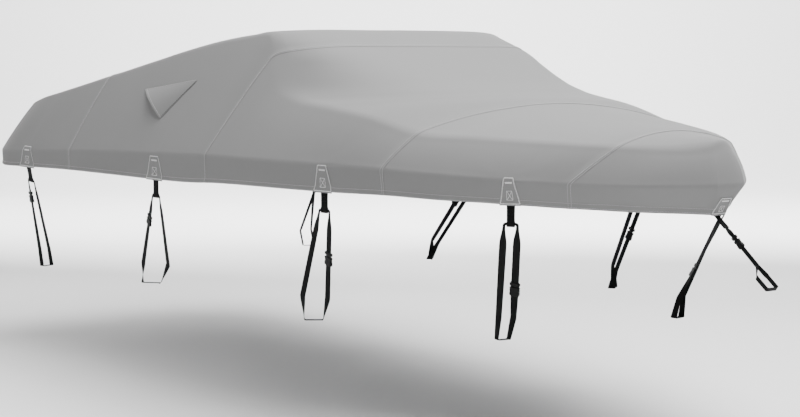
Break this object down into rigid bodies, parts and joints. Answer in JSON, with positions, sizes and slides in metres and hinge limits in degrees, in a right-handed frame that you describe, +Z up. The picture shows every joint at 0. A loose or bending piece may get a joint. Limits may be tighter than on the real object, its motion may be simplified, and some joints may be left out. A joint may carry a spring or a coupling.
{
  "type": "fitted boat cover with tie-down straps",
  "caption": "Grey fitted cloth cover for a windscreen runabout, seamed in panels, with hem patches, buckled webbing straps that loop round trailer rails, and vent hoods.",
  "frame": {"origin": "under the middle of the windscreen ridge, just below the cloth", "axes": "+X to the bow, +Y to port, +Z up"},
  "size_m": [5.3817, 2.1138, 1.3864],
  "materials": {
    "cover_cloth": "coated woven polyester, matt mid grey",
    "black_webbing": "woven black webbing",
    "black_plastic": "moulded black plastic, satin"
  },
  "bodies": {
    "root": {"panel_stern": "cover_cloth", "panel_aft": "cover_cloth", "panel_mid": "cover_cloth", "panel_fore": "cover_cloth", "panel_bow": "cover_cloth", "patch_stern_starboard": "cover_cloth", "patch_stern_port": "cover_cloth", "patch_aft_starboard": "cover_cloth", "patch_aft_port": "cover_cloth", "patch_mid_starboard": "cover_cloth", "patch_mid_port": "cover_cloth", "patch_fore_starboard": "cover_cloth", "patch_fore_port": "cover_cloth", "tab_stern_starboard": "black_webbing", "tab_stern_port": "black_webbing", "tab_aft_starboard": "black_webbing", "tab_aft_port": "black_webbing", "tab_mid_starboard": "black_webbing", "tab_mid_port": "black_webbing", "tab_fore_starboard": "black_webbing", "tab_fore_port": "black_webbing", "strap_stern_starboard": "black_webbing", "strap_stern_port": "black_webbing", "strap_aft_starboard": "black_webbing", "strap_aft_port": "black_webbing", "strap_mid_starboard": "black_webbing", "strap_mid_port": "black_webbing", "strap_fore_starboard": "black_webbing", "strap_fore_port": "black_webbing", "buckle_stern_starboard": "black_plastic", "buckle_stern_port": "black_plastic", "buckle_aft_starboard": "black_plastic", "buckle_aft_port": "black_plastic", "buckle_mid_starboard": "black_plastic", "buckle_mid_port": "black_plastic", "buckle_fore_starboard": "black_plastic", "buckle_fore_port": "black_plastic", "patch_bow": "cover_cloth", "tab_bow": "black_webbing", "strap_bow": "black_webbing", "strap_bow_loop": "black_webbing", "buckle_bow": "black_plastic", "vent_hood_starboard": "cover_cloth", "vent_hood_port": "cover_cloth"}
  },
  "joints": []
}
